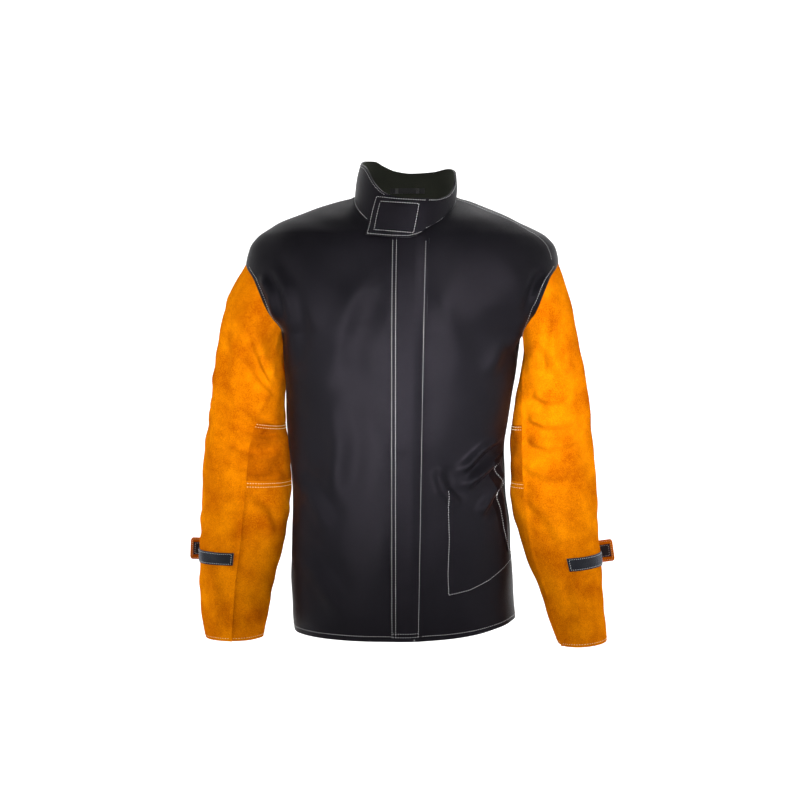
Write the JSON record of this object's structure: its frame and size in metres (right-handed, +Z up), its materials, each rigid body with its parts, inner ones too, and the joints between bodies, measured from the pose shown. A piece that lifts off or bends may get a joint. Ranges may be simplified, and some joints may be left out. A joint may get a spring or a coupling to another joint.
{
  "type": "welding jacket",
  "caption": "Stand-collar welding jacket: dark flame-resistant cotton body, golden split-leather sleeves, snap storm flap, hook-and-loop collar tab and cuff straps.",
  "frame": {"origin": "centre plane of the wearer, level with the front of the neck seam, where a wearer's neck holds the jacket up", "axes": "+Z up, -Y towards the front, +X towards the wearer's left"},
  "size_m": [0.7394, 0.2672, 0.8338],
  "materials": {
    "body_cotton": "matt twill",
    "lining": "matt",
    "split_leather": "suede split",
    "tape": "hook and loop pile",
    "webbing": "woven webbing",
    "snap_metal": "nickel-plated"
  },
  "bodies": {
    "torso": {"right_front_panel": "body_cotton", "left_front_side_panel": "body_cotton", "left_front_fold_panel": "body_cotton", "back_panel": "body_cotton", "right_front_facing": "body_cotton", "right_collar": "body_cotton", "right_collar_lining": "lining", "left_collar_back": "body_cotton", "left_collar_back_lining": "lining", "left_collar_fold": "body_cotton", "collar_loop_tape": "tape", "hanger_loop": "webbing", "pocket_bag": "lining", "snap_stud_1": "snap_metal", "snap_stud_2": "snap_metal", "snap_stud_3": "snap_metal", "snap_stud_4": "snap_metal", "snap_stud_5": "snap_metal"},
    "left_front_edge": {"left_front_edge_panel": "body_cotton", "left_front_facing": "body_cotton", "storm_flap_margin": "body_cotton", "left_collar_front": "body_cotton", "left_collar_front_lining": "lining"},
    "storm_flap": {"storm_flap": "body_cotton", "storm_flap_lining": "body_cotton", "snap_socket_1": "snap_metal", "snap_socket_2": "snap_metal", "snap_socket_3": "snap_metal", "snap_socket_4": "snap_metal", "snap_socket_5": "snap_metal"},
    "collar_tab": {"collar_tab": "body_cotton", "collar_hook_tape": "tape"},
    "right_upper_arm": {"right_sleeve_upper": "split_leather", "right_under_sleeve_upper": "split_leather", "right_elbow_patch": "split_leather"},
    "right_forearm": {"right_sleeve_lower": "split_leather", "right_under_sleeve_lower": "split_leather", "right_cuff_loop_tape": "tape", "right_cuff_strap_base": "split_leather"},
    "right_cuff_strap": {"right_cuff_strap": "split_leather", "right_cuff_hook_tape": "tape"},
    "left_upper_arm": {"left_sleeve_upper": "split_leather", "left_under_sleeve_upper": "split_leather", "left_elbow_patch": "split_leather"},
    "left_forearm": {"left_sleeve_lower": "split_leather", "left_under_sleeve_lower": "split_leather", "left_cuff_loop_tape": "tape", "left_cuff_strap_base": "split_leather"},
    "left_cuff_strap": {"left_cuff_strap": "split_leather", "left_cuff_hook_tape": "tape"}
  },
  "joints": [
    {"name": "left_front_open", "type": "hinge", "parent": "torso", "child": "left_front_edge", "pos_m": [0.09, -0.126, -0.34], "axis": [-0.0775, 0.0249, 0.9967], "range_deg": [0, 90], "deforming": ["left_front_fold_panel", "left_collar_fold"]},
    {"name": "storm_flap_peel", "type": "hinge", "parent": "left_front_edge", "child": "storm_flap", "pos_m": [0.032, -0.1475, -0.35], "axis": [0, 0, 1], "range_deg": [0, 120]},
    {"name": "collar_tab_peel", "type": "hinge", "parent": "left_front_edge", "child": "collar_tab", "pos_m": [0.034, -0.1085, 0.045], "axis": [0, 0, 1], "range_deg": [0, 110]},
    {"name": "right_shoulder_raise", "type": "hinge", "parent": "torso", "child": "right_upper_arm", "pos_m": [-0.274, -0.008, -0.046], "axis": [0, 1, 0], "range_deg": [0, 50]},
    {"name": "left_shoulder_raise", "type": "hinge", "parent": "torso", "child": "left_upper_arm", "pos_m": [0.274, -0.008, -0.046], "axis": [0, -1, 0], "range_deg": [0, 50]},
    {"name": "right_elbow_bend", "type": "hinge", "parent": "right_upper_arm", "child": "right_forearm", "pos_m": [-0.27, -0.0615, -0.359], "axis": [-0.995, 0, 0.0995], "range_deg": [0, 90], "deforming": ["right_elbow_patch"]},
    {"name": "left_elbow_bend", "type": "hinge", "parent": "left_upper_arm", "child": "left_forearm", "pos_m": [0.257, -0.0615, -0.358], "axis": [-0.9935, 0, -0.1135], "range_deg": [0, 90], "deforming": ["left_elbow_patch"]},
    {"name": "right_cuff_strap_peel", "type": "hinge", "parent": "right_forearm", "child": "right_cuff_strap", "pos_m": [-0.32693, 0.04657, -0.55013], "axis": [-0.0215, -0.1741, -0.9845], "range_deg": [0, 75]},
    {"name": "left_cuff_strap_peel", "type": "hinge", "parent": "left_forearm", "child": "left_cuff_strap", "pos_m": [0.32146, 0.0465, -0.55181], "axis": [-0.137, 0.1698, 0.9759], "range_deg": [0, 75]}
  ]
}
